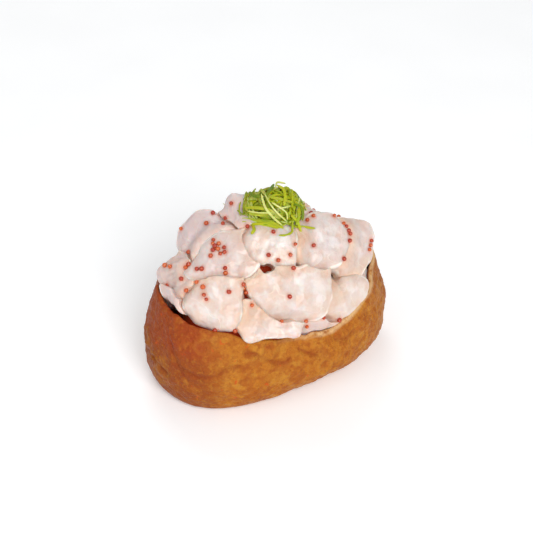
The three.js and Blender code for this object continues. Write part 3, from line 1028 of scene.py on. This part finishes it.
deselect()
bpy.ops.mesh.primitive_ico_sphere_add(subdivisions=3, radius=GRAIN_RADIUS * MM)
grain_model = bpy.context.object
bpy.ops.object.shade_smooth()
tones = random.Random(3)
grains = []
centres = []
for eye, places in ((FRONT_EYE, places_of(FRONT_GRAINS)), (REAR_EYE, rear_grains())):
    for across, up in places:
        hit = first_hit(eye, across, up)
        if hit is None or hit[0] == "pouch":
            continue
        grain = grain_model.copy()
        grain.data = grain_model.data.copy()
        size = tones.uniform(*GRAIN_SIZES)
        stretch = Matrix.Diagonal((size, size * tones.uniform(*GRAIN_STRETCHES), size, 1))
        centre = hit[1] + hit[2] * (GRAIN_RADIUS - GRAIN_SUNK) * MM
        centres.append(centre)
        facing = hit[2].to_track_quat("Z", "Y").to_matrix().to_4x4()
        grain.data.transform(Matrix.Translation(centre) @ facing @ stretch)
        paint(grain, "tone", [tones.random()] * len(grain.data.vertices))
        bpy.context.scene.collection.objects.link(grain)
        grains.append(grain)
bpy.data.objects.remove(grain_model)
deselect()
for grain in grains:
    grain.select_set(True)
# The flesh is stained round each grain.
for piece in slices.values():
    places = points_of(piece)
    nearest = np.full(len(places), 1.0)
    for centre in centres:
        nearest = np.minimum(nearest, np.linalg.norm(places - centre, axis=1))
    paint(piece, "stain", 1 - smoothstep(nearest / MM, GRAIN_RADIUS, STAIN_REACH))

roe = grains[0]
bpy.context.view_layer.objects.active = roe
bpy.ops.object.join()
roe.name = "roe"

ROE_RED = (0.36, 0.022, 0.008, 1)
ROE_ORANGE = (0.60, 0.13, 0.022, 1)
roe_skin, tree, shader, coords = new_material(
    "roe_skin",
    Roughness=0.25,
    Coat_Weight=0.35,
    Coat_Roughness=0.08,
    Subsurface_Weight=0.35,
    Subsurface_Scale=0.6 * MM,
)
tone = ramp(tree, attribute(tree, "tone"), 0.35, 1)
yolk = blotch(tree, coords, 0.7, 0.4, 0.65)
colour = tinted(tree, ROE_RED, (tone, 0.8, ROE_ORANGE), (yolk, 0.3, ROE_ORANGE))
tree.links.new(colour, shader.inputs["Base Color"])
roe.data.materials.append(roe_skin)
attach(roe, "root")

# ---------------------------------------------------------------- spring onion
# A tuft of spring onion, cut into fine shreds and soaked so that they curl: bright green ones
# from the leaf and nearly white ones from the stem, over a loose core of the same.

TUFT_CENTRE = np.array((0, -1.9, 50))
TUFT_HALF = np.array((9.2, 6.4, 7.4))
TUFT_TURN = math.radians(-35)
CORE_SHARE = 0.72
SHRED_STATIONS = 16
SHRED_THICKNESS = 0.25
# The shreds on the front as an eye sees them, from the lowest layer up: width, tone from dark
# green at 0 to cream at 1, and places across and up.
LAID_SHREDS = [
    (1.0, 0.85, "-5.5,19.5 -3,20 -0.5,18.5"),
    (0.9, 0.80, "-4,11.5 -3.5,10.5 -4.5,9"),
    (1.1, 0.8, "-5,15.5 -2.5,15 1,15.5 4,14"),
    (1.1, 0.50, "4.5,22 6,23 7,21 8,18.5 8,16"),
    (1.1, 0.62, "-7,14 -3.5,13 1,13 5,11"),
    (0.9, 0.74, "-7,13 -3,12 0.5,12 3.5,11"),
    (0.9, 0.66, "-6,17 -2,17 2,16 5,14"),
    (0.8, 0.55, "1,20 4,19.5 7.5,18.5"),
    (0.8, 0.70, "7,15 9,13 10,10"),
    (0.7, 0.55, "8,11.5 11,11.5 14,11"),
    (0.7, 0.60, "8,19 9.5,17.5 9.5,15 8.5,12.5"),
    (0.8, 0.74, "3,23.5 5,22.5 5.5,20 5,17.5"),
    (0.7, 0.42, "9,16.5 9.5,14.5 8.5,12"),
    (0.9, 0.02, "-5,21.5 -3.5,20.3 -1.5,20.3"),
    (0.8, 0.04, "-0.5,19.5 0.5,21.5 2.2,23.8"),
    (0.8, 0.03, "8,18 10,17.5 10.6,15.5 10.3,13.5"),
    (0.6, 0.50, "7.5,13 7.5,10 6,9 3.5,9"),
    (0.4, 0.96, "-5.5,16 -2,15.5 1.5,15.5"),
    (0.5, 0.96, "2.5,22.5 3,24.5 5.5,24"),
    (0.4, 0.90, "1.5,18.5 4,17 6,15.5 6,13.5"),
    (0.4, 0.94, "-0.5,21 1,18 3.5,15 6,13"),
    (0.6, 0.98, "-1.5,21 -0.5,17 2,14 4.5,12"),
]
# The rest lie at random. How many of each kind, with the least and the most of: width, length,
# radius of the curl, distance from the middle as a share of the tuft's size, and tone.
SHREDS = {
    "leaf": (220, (0.4, 1), (5, 10), (2.8, 8), (0.7, 0.97), (0.25, 0.84)),
    "stem": (50, (0.25, 0.6), (5, 10), (5, 12), (0.78, 1.0), (0.8, 1)),
    "tip": (40, (0.3, 0.6), (4, 8), (6, 12), (0.92, 1.05), (0.05, 0.7)),
}
ONION_CLEARANCE = 0.3
MOST_LIFTED = 3
LAYER_STEP = 0.01  # how much further out each laid shred lies than the last, as a share


def clear_of_squid(path):
    for _ in range(3):
        for slab in slabs.values():
            distance, outward = slab.away(path)
            short = np.clip(ONION_CLEARANCE - distance, 0, MOST_LIFTED)
            path = path + outward * short[:, None]
    return path


def curled_path(draw, length, radius, out_share):
    """A shred's middle line and its flat side: an arc round the tuft, clear of the squid."""
    longitude = draw.uniform(0, 2 * math.pi)
    latitude = math.asin(draw.uniform(-0.3, 1))
    level = math.cos(latitude)
    out = np.array((math.cos(longitude) * level, math.sin(longitude) * level, math.sin(latitude)))
    middle = out * TUFT_HALF * out_share
    along = unit(np.cross([draw.gauss(0, 0.8), draw.gauss(0, 0.8), draw.gauss(0, 1)], out))
    side = np.cross(out, along)
    sway = draw.uniform(-0.8, 0.8)
    share = np.linspace(-1, 1, SHRED_STATIONS)
    turn = share * length / 2 / radius
    path = middle + radius * (np.outer(np.sin(turn), along) - np.outer(1 - np.cos(turn), out))
    path += np.outer(sway * length / 4 * share**2, side)
    twist = draw.uniform(-1.2, 1.2) * share
    flat = np.outer(np.cos(twist), side) + np.outer(np.sin(twist), out)
    return clear_of_squid(path @ tuft_turn.T + TUFT_CENTRE), flat @ tuft_turn.T


def laid_path(places, layer):
    """A shred laid where the eye sees it, on the tuft, or on the squid where it hangs off it."""
    corners = []
    for across, up in places:
        start, way = sight(FRONT_EYE, across, up)
        from_middle = (start - TUFT_CENTRE) @ tuft_turn / TUFT_HALF
        along = way @ tuft_turn / TUFT_HALF
        half_step = -(from_middle @ along) / (along @ along)
        depth = half_step**2 - (from_middle @ from_middle - layer**2) / (along @ along)
        share = half_step - math.sqrt(max(0, depth))
        hit = first_hit(FRONT_EYE, across, up)
        if hit is not None:
            share = min(share, np.linalg.norm(np.array(hit[1]) / MM - start) / np.linalg.norm(way))
        corners.append(start + way * share)
    corners = np.array(corners)
    run = np.append(0, np.cumsum(np.linalg.norm(np.diff(corners, axis=0), axis=1)))
    share = np.linspace(0, run[-1], SHRED_STATIONS)
    path = np.array([np.interp(share, run, axis) for axis in corners.T]).T
    for _ in range(3):
        path[1:-1] = (path[:-2] + 2 * path[1:-1] + path[2:]) / 4
    path = clear_of_squid(path)
    out = unit(path - TUFT_CENTRE) + FRONT_EYE[:, 2]
    return path, unit(np.cross(out, np.gradient(path, axis=0)))


tuft_turn = np.array(Matrix.Rotation(TUFT_TURN, 3, "Z"))
draw = random.Random(11)
deselect()
bpy.ops.mesh.primitive_ico_sphere_add(subdivisions=4, radius=1)
core = bpy.context.object
core_points = points_of(core) * TUFT_HALF * CORE_SHARE
lumps = np.sin(0.9 * core_points[:, 0]) * np.cos(1.1 * core_points[:, 1])
core_points *= 1 + 0.08 * lumps[:, None]
move_points(core, (core_points @ tuft_turn.T + TUFT_CENTRE) * MM)
bpy.ops.object.shade_smooth()
paint(core, "tone", [0.5] * len(core.data.vertices))

bpy.ops.mesh.primitive_cube_add(size=1)
shred_model = bpy.context.object
bpy.ops.object.mode_set(mode="EDIT")
shred_mesh = bmesh.from_edit_mesh(shred_model.data)
for edge in shred_mesh.edges:
    edge.select = abs(edge.verts[0].co.x - edge.verts[1].co.x) > 0.5
bpy.ops.mesh.select_mode(type="EDGE")
bpy.ops.mesh.subdivide(number_cuts=SHRED_STATIONS - 2)
bpy.ops.object.mode_set(mode="OBJECT")
model_points = points_of(shred_model)
stations = np.round((model_points[:, 0] + 0.5) * (SHRED_STATIONS - 1)).astype(int)
ends = np.linspace(-1, 1, SHRED_STATIONS)
taper = np.sqrt(np.clip(1 - np.abs(ends) ** 6, 0.05, 1))

# Width, tone, middle line and flat side of every shred.
lines = []
for count, widths, lengths, radii, shares, tones in SHREDS.values():
    for _ in range(count):
        width = draw.uniform(*widths)
        path = curled_path(
            draw, draw.uniform(*lengths), draw.uniform(*radii), draw.uniform(*shares)
        )
        lines.append((width, draw.uniform(*tones), *path))
for number, (width, tone, text) in enumerate(LAID_SHREDS):
    lines.append((width, tone, *laid_path(places_of(text), 1 + LAYER_STEP * number)))

shreds = [core]
for width, tone, path, flat in lines:
    ahead = unit(np.gradient(path, axis=0))
    flat = unit(flat - ahead * np.sum(ahead * flat, axis=1)[:, None])
    up = np.cross(ahead, flat)
    across = model_points[:, 1] * width * taper[stations]
    through = model_points[:, 2] * SHRED_THICKNESS
    points = path[stations] + flat[stations] * across[:, None] + up[stations] * through[:, None]
    shred = shred_model.copy()
    shred.data = shred_model.data.copy()
    bpy.context.scene.collection.objects.link(shred)
    move_points(shred, points * MM)
    paint(shred, "tone", [tone] * len(model_points))
    shreds.append(shred)
bpy.data.objects.remove(shred_model)
deselect()
for shred in shreds:
    shred.select_set(True)
bpy.context.view_layer.objects.active = core
bpy.ops.object.join()
onion = core
onion.name = "onion_tuft"
deselect()
onion.select_set(True)
bpy.ops.object.shade_smooth_by_angle(angle=math.radians(50))

ONION_DARK = (0.10, 0.18, 0.008, 1)
ONION_GREEN = (0.27, 0.33, 0.004, 1)
ONION_LIGHT = (0.43, 0.45, 0.008, 1)
ONION_CREAM = (0.60, 0.62, 0.18, 1)
onion_flesh, tree, shader, coords = new_material(
    "onion_flesh",
    Roughness=0.38,
    Specular_IOR_Level=0.3,
    Coat_Weight=0.1,
    Coat_Roughness=0.25,
    Subsurface_Weight=0.3,
    Subsurface_Scale=1.2 * MM,
)
tone = attribute(tree, "tone")
uneven = blotch(tree, coords, 2.2, 0.35, 0.65)
colour = mixed(tree, ramp(tree, tone, 0.05, 0.3), ONION_DARK, ONION_GREEN)
colour = mixed(tree, ramp(tree, tone, 0.3, 0.75), colour, ONION_LIGHT)
colour = mixed(tree, ramp(tree, tone, 0.78, 0.9), colour, ONION_CREAM)
colour = tinted(tree, colour, (uneven, 0.3, ONION_GREEN))
veins = blotch(tree, stretched(tree, coords, 1, 1, 3), 0.25, 0.3, 0.7)
finish(tree, shader, colour, 0.2, 0.08, veins)
onion.data.materials.append(onion_flesh)
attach(onion, "root")
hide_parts("spring_onion")

# ---------------------------------------------------------------- floor and light
# A plain white table under soft studio light: a large key above the front, a fill from the left,
# a light from behind and a bright surround.

deselect()
bpy.ops.mesh.primitive_plane_add(size=4)
floor = bpy.context.object
floor.name = "floor"
paper, tree, shader, coords = new_material(
    "paper", Roughness=0.9, Specular_IOR_Level=0.1, Emission_Strength=0.12
)
shader.inputs["Emission Color"].default_value = (0.9, 0.97, 1, 1)
tone = mixed(tree, blotch(tree, coords, 40, 0.3, 0.7), (0.96, 0.96, 0.965, 1), (0.98, 0.98, 0.985, 1))
tree.links.new(tone, shader.inputs["Base Color"])
floor.data.materials.append(paper)


def softbox(name, place, size, power, warmth):
    place = Vector(place)
    turn = (CAMERA_TARGET - place).to_track_quat("-Z", "Y").to_euler()
    bpy.ops.object.light_add(type="AREA", location=place, rotation=turn)
    light = bpy.context.object
    light.name = name
    light.data.shape = "DISK"
    light.data.size = size
    light.data.energy = power
    light.data.color = warmth


softbox("key", (-0.22, -0.66, 0.54), 0.45, 5.6, (1, 1, 1))
softbox("fill", (-0.8, -0.1, 0.5), 0.7, 1.1, (1, 1, 1))
softbox("back", (0.3, 0.7, 0.7), 0.6, 2.4, (1, 1, 1))

world = bpy.data.worlds.new("surround")
world.use_nodes = True
world.node_tree.nodes["Background"].inputs["Color"].default_value = (1, 1, 1, 1)
world.node_tree.nodes["Background"].inputs["Strength"].default_value = 0.4
bpy.context.scene.world = world
bpy.context.scene.view_settings.view_transform = "Standard"
